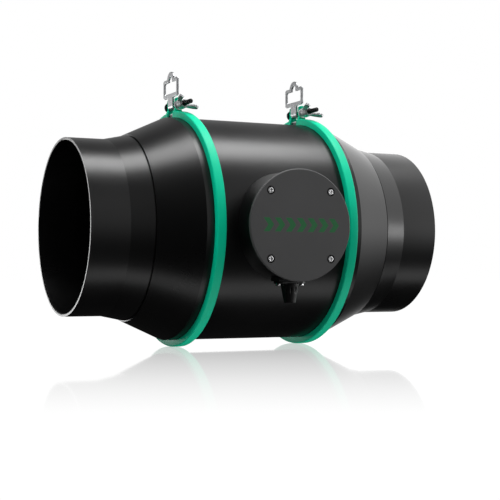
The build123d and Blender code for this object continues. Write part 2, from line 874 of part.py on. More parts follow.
with BuildPart() as impeller:
    with BuildSketch(Plane.XY):
        with BuildLine():
            Polyline(
                (impeller_start, hub_nose_radius),
                (impeller_stop, hub_rim_radius),
                (impeller_stop, hub_rim_radius - 2.6),
                (hub_step, hub_radius(hub_step) - 2.6),
                (hub_step, rotor_radius + 2.2),
                (hub_lip, rotor_radius + 2.2),
                (hub_lip, rotor_radius + 0.1),
                (rotor_face, rotor_radius + 0.1),
                (rotor_face, shaft_radius + 0.1),
                (plate_start, shaft_radius + 0.1),
                (plate_start, hub_nose_radius - 2.7),
                (impeller_start, hub_nose_radius - 2.7),
                close=True,
            )
        make_face()
    revolve(axis=Axis.X)
    for index in range(blade_count):
        add(blade.part.rotate(Axis.X, index * 360 / blade_count))
    with BuildSketch(duct_plane(plate_start)):
        with PolarLocations(screw_circle, 3):
            Circle(1.6)
    extrude(amount=plate_thickness, mode=Mode.SUBTRACT)
save(impeller.part, "impeller")

nose_tip = 88.0
nose_rise = impeller_start - nose_tip
nose_sphere = (nose_rise**2 + hub_nose_radius**2) / (2 * nose_rise)
skirt_radius = hub_nose_radius - 2.8
skirt_stop = plate_start - 0.2
with BuildPart() as nose_cap:
    with BuildSketch(Plane.XY):
        with BuildLine():
            ThreePointArc(
                (nose_tip, 0),
                dome_point(nose_tip, nose_sphere, 1, 20),
                (impeller_start, hub_nose_radius),
            )
            inside = dome_point(nose_tip + cap_wall, nose_sphere - cap_wall, 1, skirt_radius - 2)
            Polyline(
                (impeller_start, hub_nose_radius),
                (impeller_start, skirt_radius),
                (skirt_stop, skirt_radius),
                (skirt_stop, skirt_radius - 2),
                inside,
            )
            ThreePointArc(
                inside,
                dome_point(nose_tip + cap_wall, nose_sphere - cap_wall, 1, 17),
                (nose_tip + cap_wall, 0),
            )
            Line((nose_tip + cap_wall, 0), (nose_tip, 0))
        make_face()
    revolve(axis=Axis.X)
save(nose_cap.part, "nose_cap")

impeller_seat = Plane(origin=(plate_start, 0, 0), x_dir=(0, 1, 0), z_dir=(-1, 0, 0))
impeller_places = [
    (screw_circle * math.cos(math.radians(120 * k)), screw_circle * math.sin(math.radians(120 * k)))
    for k in range(3)
]
save(make_cross_screws(impeller_seat, impeller_places, 2.8, 1.6, 1.5, 4.4), "impeller_screws")

with BuildPart() as rotor_shell:
    with BuildSketch(duct_plane(rotor_face)):
        Circle(rotor_radius)
    extrude(amount=impeller_stop - rotor_face)
    with BuildSketch(duct_plane(rotor_face + 2)):
        Circle(rotor_radius - 1.8)
    extrude(amount=impeller_stop, mode=Mode.SUBTRACT)
    with BuildSketch(duct_plane(rotor_face + 2)):
        Circle(8.5)
    extrude(amount=5)
    with BuildSketch(duct_plane(rotor_face)):
        Circle(shaft_radius)
        with Locations(*impeller_places):
            Circle(1.52)
    extrude(amount=10, mode=Mode.SUBTRACT)
save(rotor_shell.part, "rotor_shell")

with BuildPart() as magnet_ring:
    with BuildSketch(duct_plane(119)):
        Circle(rotor_radius - 1.8)
        Circle(core_radius + 0.7, mode=Mode.SUBTRACT)
    extrude(amount=20)
save(magnet_ring.part, "magnet_ring")

circlip_x = mount_face + 0.3
with BuildPart() as motor_shaft:
    with BuildSketch(duct_plane(plate_start - 0.5)):
        Circle(shaft_radius)
    extrude(amount=mount_face + 3.5 - plate_start)
    with BuildSketch(duct_plane(circlip_x)):
        Circle(shaft_radius + 1)
        Circle(shaft_radius - 0.4, mode=Mode.SUBTRACT)
    extrude(amount=0.8, mode=Mode.SUBTRACT)
    chamfer(motor_shaft.edges().group_by(Axis.X)[-1], 0.4)
save(motor_shaft.part, "motor_shaft")

with BuildPart() as shaft_circlip:
    with BuildSketch(duct_plane(circlip_x)):
        Circle(shaft_radius + 1.7)
        Circle(shaft_radius - 0.4, mode=Mode.SUBTRACT)
        with Locations((0, 5)):
            Rectangle(3, 6, mode=Mode.SUBTRACT)
    extrude(amount=0.8)
save(shaft_circlip.part, "shaft_circlip")
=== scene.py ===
# %% [markdown]
# # An inline duct fan, dressed for its portrait
#
# The fan is a tube with a motor in the middle: two black plastic reducer cones, a black casing between
# them, and two green band clamps that hold the three together. Its frame, sizes and moving bodies are
# already settled in a CAD model. This notebook loads that model, gives every piece its finish, models
# the pieces that deserve finer detail, and sets up a small photo studio around them.
#
# All lengths are metres. +X runs along the duct with the airflow, +Z is up, and the junction box looks
# towards -Y.

# %% Load the CAD frame
import json
import math

import bmesh
import bpy
from mathutils import Matrix, Vector

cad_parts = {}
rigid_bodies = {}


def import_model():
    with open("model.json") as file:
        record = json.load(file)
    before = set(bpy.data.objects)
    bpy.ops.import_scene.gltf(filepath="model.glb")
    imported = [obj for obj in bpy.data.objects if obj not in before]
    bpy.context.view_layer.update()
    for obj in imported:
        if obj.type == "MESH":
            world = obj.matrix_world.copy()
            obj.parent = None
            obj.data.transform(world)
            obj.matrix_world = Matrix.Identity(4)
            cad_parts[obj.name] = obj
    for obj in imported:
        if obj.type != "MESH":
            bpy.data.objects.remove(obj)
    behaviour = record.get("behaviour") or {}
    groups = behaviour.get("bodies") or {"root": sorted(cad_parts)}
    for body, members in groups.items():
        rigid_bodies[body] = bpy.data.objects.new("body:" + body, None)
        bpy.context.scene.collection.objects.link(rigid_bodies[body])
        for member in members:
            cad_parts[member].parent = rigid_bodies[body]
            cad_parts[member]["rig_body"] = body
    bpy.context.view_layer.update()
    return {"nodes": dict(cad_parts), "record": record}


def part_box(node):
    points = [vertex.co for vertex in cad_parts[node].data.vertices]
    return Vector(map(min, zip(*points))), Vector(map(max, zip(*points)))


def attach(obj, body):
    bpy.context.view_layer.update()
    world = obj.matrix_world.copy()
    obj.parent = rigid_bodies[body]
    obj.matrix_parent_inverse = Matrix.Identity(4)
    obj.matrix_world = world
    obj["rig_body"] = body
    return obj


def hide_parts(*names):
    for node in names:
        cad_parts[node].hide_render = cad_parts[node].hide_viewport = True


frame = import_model()
nodes = frame["nodes"]
MM = 0.001

# %% [markdown]
# ## Where things are
#
# Every place used below is read from the CAD boxes, so that nothing has to be fitted by eye. The clamp
# bands give the two joints of the casing, and their lowest point is the level on which the fan rests.

# %% Measure the frame
ENDS = ("inlet", "outlet")
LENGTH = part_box("outlet_cone")[1].x
BAND_RADIUS = -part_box("inlet_clamp_band")[0].z
FLOOR = -BAND_RADIUS
band_x = {end: sum(corner.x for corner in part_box(f"{end}_clamp_band")) / 2 for end in ENDS}
centre = Vector((LENGTH / 2, 0, 0))
print("length", round(LENGTH, 4), "bands at", band_x, "floor at", round(FLOOR, 4))

# %% [markdown]
# ## Camera
#
# A portrait lens about a metre away keeps the round mouths from looking stretched. The camera stands a
# little to the left of the junction box, so that it looks into the inlet, and a little below the duct
# axis, so that the fan looks tall.

# %% Camera
AZIMUTH, ELEVATION = math.radians(-25.81), math.radians(-1.25)
AIM_OFF_CENTRE = Vector((0.0128, 0, -0.0175))
DISTANCE = 1.0697
FOCAL_LENGTH = 86.26
back = Vector((
    math.sin(AZIMUTH) * math.cos(ELEVATION),
    -math.cos(AZIMUTH) * math.cos(ELEVATION),
    math.sin(ELEVATION),
))
target = centre + AIM_OFF_CENTRE
camera = bpy.data.objects.new("camera", bpy.data.cameras.new("camera"))
bpy.context.scene.collection.objects.link(camera)
camera.data.sensor_width = 36
camera.data.lens = FOCAL_LENGTH
camera.location = target + back * DISTANCE
camera.rotation_mode = "QUATERNION"
camera.rotation_quaternion = (-back).to_track_quat("-Z", "Y")
bpy.context.scene.camera = camera
bpy.context.scene.view_settings.view_transform = "Standard"
print("camera at", [round(v, 3) for v in camera.location])

# %% [markdown]
# ## Node helpers
#
# A procedural material is a small graph. These helpers add a node, feed its inputs from numbers,
# colours or other sockets, and hand back its first output, so that a whole finish reads like a
# formula.


# %% Node helpers
def feed(tree, socket, value):
    """Link an input to another node's output, or set it to a plain value."""
    if isinstance(value, bpy.types.NodeSocket):
        tree.links.new(value, socket)
    else:
        socket.default_value = value


def node(tree, kind, output=0, **values):
    """Add a shader node; keywords are its properties, or its inputs by name (_ for space) or as i0, i1."""
    made = tree.nodes.new(kind)
    for name, value in values.items():
        if hasattr(made, name):
            setattr(made, name, value)
    for name, value in values.items():
        if not hasattr(made, name):
            numbered = name[0] == "i" and name[1:].isdigit()
            feed(tree, made.inputs[int(name[1:]) if numbered else name.replace("_", " ")], value)
    return made.outputs[output]


def coordinates(tree, scale=(1, 1, 1), turn=(0, 0, 0)):
    """Object coordinates, stretched and turned."""
    place = node(tree, "ShaderNodeTexCoord", output="Object")
    return node(tree, "ShaderNodeMapping", Vector=place, Scale=scale, Rotation=turn)


def noise(tree, place, scale, detail=4.0, roughness=0.55):
    """Grey fractal noise between 0 and 1."""
    return node(tree, "ShaderNodeTexNoise", Vector=place, Scale=scale, Detail=detail, Roughness=roughness)


def remap(tree, value, low, high, out_low=0.0, out_high=1.0):
    """Stretch a value from one range to another, clamped."""
    return node(
        tree, "ShaderNodeMapRange", Value=value, From_Min=low, From_Max=high, To_Min=out_low, To_Max=out_high
    )


def blend_colours(tree, factor, first, second):
    """Mix two colours."""
    mix = tree.nodes.new("ShaderNodeMix")
    mix.data_type = "RGBA"
    for socket, value in ((mix.inputs["Factor"], factor), (mix.inputs[6], first), (mix.inputs[7], second)):
        feed(tree, socket, value)
    return mix.outputs[2]


def bump(tree, height, strength, distance):
    """Turn a height into a surface normal."""
    return node(tree, "ShaderNodeBump", Height=height, Strength=strength, Distance=distance)


def new_material(name):
    """Material with a Principled shader, in place of the CAD one of that name; returns its tree too."""
    plain = bpy.data.materials.get(name)
    if plain:
        plain.name = f"{name}_plain"
    material = bpy.data.materials.new(name)
    material.use_nodes = True
    tree = material.node_tree
    shader = next(n for n in tree.nodes if n.type == "BSDF_PRINCIPLED")
    return material, tree, shader


def wire(tree, shader, **values):
    """Set or link the Principled shader's inputs."""
    for name, value in values.items():
        feed(tree, shader.inputs[name.replace("_", " ")], value)


def rgb(red, green, blue):
    """Linear colour with full opacity."""
    return (red, green, blue, 1.0)


print("node helpers ready")


# %% [markdown]
# ## Satin black plastic
#
# The cones and casing are injection-moulded in black plastic. The mould is spark-eroded, which leaves a
# very fine even grain and a satin sheen, and a flow of plastic is never perfectly even, so the gloss
# drifts a little over a hand's width. One noise makes the grain, a wide slow one the drift.


# %% Satin black plastic
def moulded_plastic(name, base, gloss_low, gloss_high, grain_scale, grain_depth):
    """Moulded plastic: slow drift in gloss and colour, plus a fine spark-eroded grain."""
    material, tree, shader = new_material(name)
    place = coordinates(tree)
    drift = noise(tree, place, 9.0, 3.0)
    grain = noise(tree, place, grain_scale, 3.0, 0.7)
    scuffs = noise(tree, coordinates(tree, (1, 6, 6)), 120.0, 2.0, 0.4)
    roughness = remap(tree, drift, 0.3, 0.7, gloss_low, gloss_high)
    mottled = node(
        tree, "ShaderNodeMath", operation="MULTIPLY_ADD", i0=scuffs, i1=0.04, i2=roughness
    )
    lighter = rgb(*[c * 1.35 + 0.002 for c in base])
    wire(
        tree, shader,
        Base_Color=blend_colours(tree, remap(tree, drift, 0.35, 0.7), rgb(*base), lighter),
        Roughness=mottled,
        Normal=bump(tree, grain, grain_depth, 0.00012),
    )
    return material


shell_plastic = moulded_plastic("shell_plastic", (0.0018, 0.0018, 0.002), 0.25, 0.3, 1400.0, 0.1)
cover_plastic = moulded_plastic("cover_plastic", (0.047, 0.047, 0.048), 0.52, 0.6, 1900.0, 0.4)
impeller_plastic = moulded_plastic("impeller_plastic", (0.012, 0.012, 0.013), 0.38, 0.5, 900.0, 0.25)
print("plastics ready")

# %% [markdown]
# ## Airflow mark on the cover
#
# The cover carries a printed mark that shows which way the air goes: a row of plain chevrons. It is
# drawn by arithmetic on the cover's own coordinates. The distance along the duct, held back by the
# distance from the middle line, makes slanted stripes, and two limits crop them to a neat row. The four
# screw recesses get a painted shade in the same way: discs round the screws are drawn near-black, as little
# light gets down into them.

# %% Airflow mark on the cover
MARK_HALF_LENGTH = 0.0345
MARK_HALF_HEIGHT = 0.0055
CHEVRON_PITCH = 0.0098
CHEVRON_SLANT = 0.75
CHEVRON_FILL = 0.52
SCREW_OFFSET = 0.0271
RECESS_RADIUS = 0.00345
# Colour of the painted shade in the four screw recesses of the cover.
PAINTED_RECESS_SHADE = (0.002, 0.002, 0.002)


def print_mark_and_recess_shade(material, shade):
    """Mix a row of chevrons, and a painted shade on four discs round the screw recesses, into a material's
    colour.
    """
    tree = material.node_tree
    shader = next(n for n in tree.nodes if n.type == "BSDF_PRINCIPLED")
    place = node(
        tree, "ShaderNodeMapping", Vector=node(tree, "ShaderNodeTexCoord", output="Object"),
        Location=(-centre.x, 0, 0),
    )
    axes = node(tree, "ShaderNodeSeparateXYZ", Vector=place).node.outputs
    from_middle = node(tree, "ShaderNodeMath", operation="ABSOLUTE", i0=axes["Z"])
    along = node(
        tree, "ShaderNodeMath", operation="MULTIPLY_ADD", i0=from_middle, i1=CHEVRON_SLANT, i2=axes["X"]
    )
    along = node(tree, "ShaderNodeMath", operation="DIVIDE", i0=along, i1=CHEVRON_PITCH)
    stripe = node(tree, "ShaderNodeMath", operation="FLOORED_MODULO", i0=along, i1=1.0)
    stripe = node(tree, "ShaderNodeMath", operation="LESS_THAN", i0=stripe, i1=CHEVRON_FILL)
    reach = node(tree, "ShaderNodeMath", operation="ABSOLUTE", i0=axes["X"])
    within = node(tree, "ShaderNodeMath", operation="LESS_THAN", i0=reach, i1=MARK_HALF_LENGTH)
    level = node(tree, "ShaderNodeMath", operation="LESS_THAN", i0=from_middle, i1=MARK_HALF_HEIGHT)
    mask = node(tree, "ShaderNodeMath", operation="MULTIPLY", i0=stripe, i1=within)
    mask = node(tree, "ShaderNodeMath", operation="MULTIPLY", i0=mask, i1=level)
    under = shader.inputs["Base Color"].links[0].from_socket
    folded = node(tree, "ShaderNodeCombineXYZ", X=reach, Y=from_middle)
    from_screw = node(
        tree, "ShaderNodeVectorMath", operation="DISTANCE", output="Value", i0=folded,
        i1=(SCREW_OFFSET, SCREW_OFFSET, 0),
    )
    # Painted shade: discs round the four screws are drawn near-black, in place of the shadow down in their
    # recesses.
    painted_shade_mask = node(tree, "ShaderNodeMath", operation="LESS_THAN", i0=from_screw, i1=RECESS_RADIUS)
    under = blend_colours(tree, painted_shade_mask, under, rgb(*PAINTED_RECESS_SHADE))
    wire(tree, shader, Base_Color=blend_colours(tree, mask, under, rgb(*shade)))


print_mark_and_recess_shade(cover_plastic, (0.003, 0.125, 0.03))
print("mark printed")

# %% [markdown]
# ## Teal powder coat
#
# The bands are sheet steel in a teal-green powder coat. Powder melts into a smooth skin with a faint
# orange-peel texture and a soft, weak gloss.


# %% Teal powder coat
def powder_coat(name, deep, bright):
    """Powder-coated steel: orange peel and a slight colour drift."""
    material, tree, shader = new_material(name)
    place = coordinates(tree)
    peel = noise(tree, place, 420.0, 2.0, 0.5)
    drift = noise(tree, place, 25.0, 3.0)
    wire(
        tree, shader,
        Base_Color=blend_colours(tree, remap(tree, drift, 0.3, 0.7), rgb(*deep), rgb(*bright)),
        Roughness=remap(tree, peel, 0.3, 0.7, 0.36, 0.44),
        Specular_IOR_Level=0.15,
        Normal=bump(tree, peel, 0.2, 0.0002),
    )
    return material


green_band = powder_coat("green_band", (0.0, 0.54, 0.3), (0.0, 0.62, 0.36))
print("powder coat ready")

# %% [markdown]
# ## Metals
#
# Hardware comes in a few finishes: bright zinc on the wing nuts and sleeves, brushed stainless on the
# hanging eyes, nickel on the small screws, black oxide on the clamp bolts. One recipe covers them:
# fine directional scratches drive roughness and bump, and soft blotches tint the plating.


# %% Metals
def worked_metal(name, colour, gloss_low, gloss_high, brush=(900.0, 40.0, 900.0), depth=0.25, metallic=1.0):
    """Metal with directional scratches and faint blotches."""
    material, tree, shader = new_material(name)
    scratches = noise(tree, coordinates(tree, brush), 1.0, 3.0, 0.6)
    blotches = noise(tree, coordinates(tree), 260.0, 3.0)
    darker = rgb(*[c * 0.72 for c in colour])
    wire(
        tree, shader,
        Base_Color=blend_colours(tree, remap(tree, blotches, 0.3, 0.7), darker, rgb(*colour)),
        Metallic=metallic,
        Roughness=remap(tree, scratches, 0.3, 0.7, gloss_low, gloss_high),
        Normal=bump(tree, scratches, depth, 0.00005),
    )
    return material


zinc_steel = worked_metal("zinc_steel", (0.78, 0.79, 0.8), 0.3, 0.45, metallic=0.7)
stainless_hanger = worked_metal("stainless_hanger", (0.6, 0.61, 0.62), 0.22, 0.36, (1200.0, 1200.0, 60.0))
bright_screw = worked_metal("bright_screw", (0.82, 0.82, 0.83), 0.1, 0.2, (500.0, 500.0, 500.0))
black_bolt = worked_metal("black_bolt", (0.012, 0.012, 0.013), 0.3, 0.42, metallic=0.4)
cast_aluminium = worked_metal("cast_aluminium", (0.55, 0.55, 0.56), 0.38, 0.55, (600.0, 600.0, 600.0))
bearing_steel = worked_metal("bearing_steel", (0.6, 0.6, 0.61), 0.12, 0.22)
rotor_steel = worked_metal("rotor_steel", (0.4, 0.41, 0.42), 0.25, 0.4, (60.0, 900.0, 900.0))
dark_spring_steel = worked_metal("dark_spring_steel", (0.08, 0.08, 0.085), 0.3, 0.4)
print("metals ready")

# %% [markdown]
# ## Rubber, board and motor materials
#
# The seals are matt rubber with a pitted skin. The stator is a stack of thin steel sheets, so bands
# across the axis show the laminations; the coils are enamelled copper wire, drawn as fine turns.


# %% Rubber, board and motor materials
def rubber(name, base, roughness):
    """Matt rubber with a pitted skin."""
    material, tree, shader = new_material(name)
    pits = noise(tree, coordinates(tree), 1600.0, 4.0, 0.7)
    wire(
        tree, shader,
        Base_Color=rgb(*base),
        Roughness=remap(tree, pits, 0.3, 0.7, roughness - 0.06, roughness + 0.06),
        Normal=bump(tree, pits, 0.35, 0.0001),
    )
    return material


def layered(name, first, second, per_metre, direction, metallic, roughness):
    """Stacked sheets or wound wire: stripes square to one direction, with bump in step."""
    material, tree, shader = new_material(name)
    stripes = node(
        tree, "ShaderNodeTexWave", output="Fac", Vector=coordinates(tree), Scale=per_metre,
        Distortion=0.3, bands_direction=direction,
    )
    wire(
        tree, shader,
        Base_Color=blend_colours(tree, stripes, rgb(*first), rgb(*second)),
        Metallic=metallic,
        Roughness=roughness,
        Normal=bump(tree, stripes, 0.5, 0.0002),
    )
    return material


def fine_skin(name, base, roughness, metallic=0.0):
    """Plain skin with a slight mottle, for small inner pieces."""
    material, tree, shader = new_material(name)
    mottle = noise(tree, coordinates(tree), 700.0, 3.0)
    lighter = rgb(*[min(1.0, c * 1.4) for c in base])
    wire(
        tree, shader,
        Base_Color=blend_colours(tree, mottle, rgb(*base), lighter),
        Metallic=metallic,
        Roughness=remap(tree, mottle, 0.3, 0.7, roughness - 0.05, roughness + 0.05),
        Normal=bump(tree, mottle, 0.2, 0.0001),
    )
    return material


gland_rubber = rubber("gland_rubber", (0.002, 0.002, 0.002), 0.36)
seal_rubber = rubber("seal_rubber", (0.012, 0.012, 0.012), 0.8)
cable_sheath = rubber("cable_sheath", (0.014, 0.014, 0.014), 0.45)
lamination_steel = layered("lamination_steel", (0.16, 0.16, 0.17), (0.34, 0.34, 0.36), 300.0, "X", 0.8, 0.45)
copper_winding = layered("copper_winding", (0.36, 0.12, 0.03), (0.7, 0.3, 0.1), 300.0, "X", 0.85, 0.35)
circuit_board = fine_skin("circuit_board", (0.01, 0.12, 0.045), 0.35)
terminal_plastic = fine_skin("terminal_plastic", (0.02, 0.2, 0.09), 0.45)
capacitor_can = fine_skin("capacitor_can", (0.012, 0.014, 0.05), 0.3)
magnet = fine_skin("magnet", (0.05, 0.05, 0.055), 0.6, 0.2)
print("inner materials ready")

# %% [markdown]
# ## Dress the CAD pieces
#
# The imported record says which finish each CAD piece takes, by slot name. The materials above carry the
# same names, so one loop dresses the whole frame.

# %% Dress the CAD pieces
slots = {row["node"]: row["material_slot"] for row in frame["record"]["subparts"]}
for name, piece in nodes.items():
    piece.data.materials.clear()
    piece.data.materials.append(bpy.data.materials[slots[name]])
    polygons = piece.data.polygons
    polygons.foreach_set("material_index", [0] * len(polygons))
print("dressed", len(nodes), "CAD pieces in", len(set(slots.values())), "finishes")

# %% [markdown]
# ## From a shape to a piece
#
# The wing nuts, clamp bolts and clamp bands deserve finer shapes than the CAD gives them, and the hanging
# eyes, small screws and gland softer edges. Each one is made as a bmesh, turned into an object, and set
# to ride on the body of the CAD piece that it stands for. Smooth shading with creases only where faces
# meet steeply keeps round parts round and corners crisp.


# %% From a shape to a piece
WELD = 0.0005 * MM


def finish_piece(shape, stands_for, crease=40.0):
    """Make a bmesh into a piece that replaces a CAD node and rides on the node's body."""
    mesh = bpy.data.meshes.new(f"{stands_for}_fine")
    shape.to_mesh(mesh)
    shape.free()
    mesh.shade_smooth()
    mesh.set_sharp_from_angle(angle=math.radians(crease))
    mesh.materials.append(bpy.data.materials[slots[stands_for]])
    piece = bpy.data.objects.new(mesh.name, mesh)
    bpy.context.scene.collection.objects.link(piece)
    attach(piece, nodes[stands_for]["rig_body"])
    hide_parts(stands_for)
    return piece


def turned(shape, profile, middle, segments=48):
    """Closed round solid about the Y direction; the profile is (radius, y) pairs in millimetres."""
    corners = [shape.verts.new(middle + Vector((radius, y, 0)) * MM) for radius, y in profile]
    edges = [shape.edges.new((a, b)) for a, b in zip(corners, corners[1:] + corners[:1])]
    bmesh.ops.spin(
        shape, geom=corners + edges, cent=middle, axis=(0, 1, 0), angle=math.tau, steps=segments,
        use_merge=True,
    )


def tidy_normals(shape):
    """Weld the seams and turn every face outwards."""
    bmesh.ops.remove_doubles(shape, verts=shape.verts, dist=WELD)
    bmesh.ops.recalc_face_normals(shape, faces=shape.faces)


def cast_skin(shape, grain, passes):
    """Melt overlapping closed shapes into one skin with softly rounded edges, as casting does."""
    mesh = bpy.data.meshes.new("mould")
    shape.to_mesh(mesh)
    shape.free()
    mould = bpy.data.objects.new("mould", mesh)
    bpy.context.scene.collection.objects.link(mould)
    remesh = mould.modifiers.new("skin", "REMESH")
    remesh.mode = "VOXEL"
    remesh.voxel_size = grain * MM
    ready = mould.evaluated_get(bpy.context.evaluated_depsgraph_get())
    skin = bmesh.new()
    skin.from_mesh(ready.to_mesh())
    ready.to_mesh_clear()
    bpy.data.objects.remove(mould)
    bpy.data.meshes.remove(mesh)
    for _ in range(passes):
        bmesh.ops.smooth_vert(
            skin, verts=skin.verts, factor=0.5, use_axis_x=True, use_axis_y=True, use_axis_z=True
        )
    return skin


print("shape helpers ready")


# %% [markdown]
# ## Wing nuts
#
# A wing nut is cast in one go: a tapered barrel with a bore, and two wings that sweep outwards so that
# fingers get a grip. The barrel is a spun profile; its bore is left plain, as the bolt hides it. A wing
# is a flat outline, extruded to its thickness, with rounded corners; its partner is the same shape half a
# turn away. The three shapes overlap, and one fine skin around them gives the fillets of a casting.
#
# Outlines are in millimetres: (radius, distance along Y from the seat).

# %% Wing nuts
NUT_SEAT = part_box("inlet_wing_nut")[1].y
NUT_BARREL = [(2.2, 0.1), (2.6, -0.25), (4.1, 0.0), (4.6, -0.4), (4.5, -1.6), (4.0, -7.2), (3.6, -7.9),
              (2.7, -8.0), (2.2, -7.6)]
WING_OUTLINE = [(1.9, -1.9), (4.3, -2.2), (6.2, -6.0), (8.6, -11.6), (9.8, -15.6), (9.7, -18.1), (8.2, -19.3),
                (6.0, -18.5), (4.9, -14.0), (3.7, -8.6), (2.6, -7.6)]
WING_HALF = 1.15
WING_CORNER = 0.8
WING_TURN = math.radians(32.0)
CAST_GRAIN, CAST_PASSES = 0.2, 5
bolt_axis = {
    end: sum((Vector((corner.x, 0, corner.z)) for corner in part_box(f"{end}_clamp_washer")), Vector()) / 2
    for end in ENDS
}


def make_wing(shape, middle, turn):
    """One wing: an outline in millimetres, given thickness, rounded and turned about the bolt."""
    corners = [shape.verts.new(Vector((u, y, -WING_HALF)) * MM) for u, y in WING_OUTLINE]
    outline = shape.faces.new(corners)
    raised = bmesh.ops.extrude_face_region(shape, geom=[outline])["geom"]
    top = [part for part in raised if isinstance(part, bmesh.types.BMVert)]
    bmesh.ops.translate(shape, verts=top, vec=(0, 0, 2 * WING_HALF * MM))
    wing = corners + top
    upright = [
        edge for edge in shape.edges
        if edge.verts[0] in wing and abs(edge.verts[0].co.z - edge.verts[1].co.z) > WING_HALF * MM
    ]
    bmesh.ops.bevel(
        shape, geom=upright, offset=WING_CORNER * MM, segments=3, profile=0.5, affect="EDGES", material=-1
    )
    # An earlier wing has already been moved to the bolt, so only the new one still lies flat at Z = 0.
    flat = [vert for vert in shape.verts if abs(abs(vert.co.z) - WING_HALF * MM) < 0.01 * MM]
    bmesh.ops.rotate(shape, verts=flat, cent=(0, 0, 0), matrix=Matrix.Rotation(turn, 3, "Y"))
    bmesh.ops.translate(shape, verts=flat, vec=middle)


for end in ENDS:
    seat = bolt_axis[end] + Vector((0, NUT_SEAT, 0))
    nut = bmesh.new()
    for turn in (WING_TURN, WING_TURN + math.pi):
        make_wing(nut, seat, turn)
    turned(nut, NUT_BARREL, seat)
    tidy_normals(nut)
    piece = finish_piece(cast_skin(nut, CAST_GRAIN, CAST_PASSES), f"{end}_wing_nut", crease=70.0)
    print(piece.name, len(piece.data.polygons), "faces")

# %% [markdown]
# ## Clamp bolts
#
# The bolt has a domed head with a hexagon socket, a plain neck, and a thread that runs on past the wing
# nut. The socket is a hexagon bridged to a round rim, and rings of other sizes carry on down the shank.
# The thread is a small blunt tooth spun about the bolt while it advances by one pitch each turn. Sizes
# are in millimetres: the crown as (radius, distance from the head's face), the tooth as (radius,
# distance from the start of the thread).

# %% Clamp bolts
BOLT_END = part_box("inlet_clamp_bolt")[0].y / MM
HEAD_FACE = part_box("inlet_clamp_bolt")[1].y / MM
THREAD_START = -11.6
THREAD_PITCH = 0.7
THREAD_STEPS = 20
THREAD_TOOTH = [(1.6, -0.62), (1.98, -0.36), (1.98, -0.28), (1.6, -0.02)]
SHANK_RADIUS, ROOT_RADIUS, TIP_RADIUS = 2.0, 1.66, 1.3
SOCKET_RIM, SOCKET_RIM_DEPTH = 1.85, 0.05
SOCKET_FLOOR, SOCKET_DEPTH = 1.8, 2.0
CROWN = [(2.3, -0.05), (3.1, -0.4), (3.8, -0.95), (4.25, -1.6), (4.4, -2.4), (4.35, -3.3), (2.05, -3.4)]


def ring(shape, segments, radius, place):
    """Ring of edges square to Y."""
    made = bmesh.ops.create_circle(shape, segments=segments, radius=radius * MM)["verts"]
    bmesh.ops.rotate(shape, verts=made, cent=(0, 0, 0), matrix=Matrix.Rotation(math.pi / 2, 3, "X"))
    bmesh.ops.translate(shape, verts=made, vec=place)
    return list({edge for vert in made for edge in vert.link_edges})


def make_bolt(middle):
    """Socket-head bolt with a cut thread."""
    shape = bmesh.new()
    face = middle + Vector((0, HEAD_FACE * MM, 0))
    socket = ring(shape, 6, SOCKET_RIM, face - Vector((0, SOCKET_RIM_DEPTH * MM, 0)))
    floor_ring = ring(shape, 6, SOCKET_FLOOR, face - Vector((0, SOCKET_DEPTH * MM, 0)))
    bmesh.ops.bridge_loops(shape, edges=socket + floor_ring)
    bmesh.ops.holes_fill(shape, edges=floor_ring, sides=0)
    previous = socket
    neck = [(radius, HEAD_FACE + y) for radius, y in CROWN]
    neck += [(SHANK_RADIUS, THREAD_START + 0.3), (ROOT_RADIUS, THREAD_START)]
    neck += [(ROOT_RADIUS, BOLT_END + 0.5), (TIP_RADIUS, BOLT_END)]
    for radius, y in neck:
        following = ring(shape, 48, radius, middle + Vector((0, y * MM, 0)))
        bmesh.ops.bridge_loops(shape, edges=previous + following)
        previous = following
    bmesh.ops.holes_fill(shape, edges=previous, sides=0)
    tidy_normals(shape)
    turns = (THREAD_START - BOLT_END - THREAD_PITCH) / THREAD_PITCH
    start = middle + Vector((0, THREAD_START * MM, 0))
    tooth = [shape.verts.new(start + Vector((radius, y, 0)) * MM) for radius, y in THREAD_TOOTH]
    thread = shape.faces.new(tooth)
    bmesh.ops.spin(
        shape, geom=[thread], cent=middle, axis=(0, -1, 0), dvec=(0, -THREAD_PITCH * MM / THREAD_STEPS, 0),
        angle=turns * math.tau, steps=round(turns * THREAD_STEPS),
    )
    return shape


for end in ENDS:
    shape = make_bolt(bolt_axis[end])
    bmesh.ops.recalc_face_normals(shape, faces=shape.faces)
    piece = finish_piece(shape, f"{end}_clamp_bolt", crease=35.0)
    print(piece.name, len(piece.data.polygons), "faces")

# %% [markdown]
# ## Clamp bands
#
# The band is sheet rolled to a rounded channel that hooks over both flanges. Its section is a flat face
# whose outer corners are rounded by a vertex bevel, then carried round the duct by a spin that stops
# short at the split. An upright ear stands at each side of the split, drilled for the bolt: its outline
# is bridged to the round hole, and the ring of faces is extruded to its thickness. Sizes are in
# millimetres: the channel as (along the duct, radius), the ear as (along the duct, height).

# %% Clamp bands
CHANNEL = [(-4.0, 96.1), (-4.0, 101.65), (4.0, 101.65), (4.0, 96.1), (2.7, 96.1), (2.7, 100.0), (-2.7, 100.0),
           (-2.7, 96.1)]
OUTER_ROUND = 1.2
SPLIT_ANGLE = math.asin(6.0 / 100.0)
BAND_STEPS = 180
EAR_OUTLINE = [(-3.6, 100.7), (-2.3, 104.2), (-2.3, 113.2), (2.3, 113.2), (2.3, 104.2), (3.6, 100.7)]
EAR_PLACES = (6.0, -10.5)
EAR_THICKNESS = 4.5
EAR_CORNER = 1.5
BOLT_HOLE = 2.15
EDGE_BREAK = 0.35
STEEP = 1.2


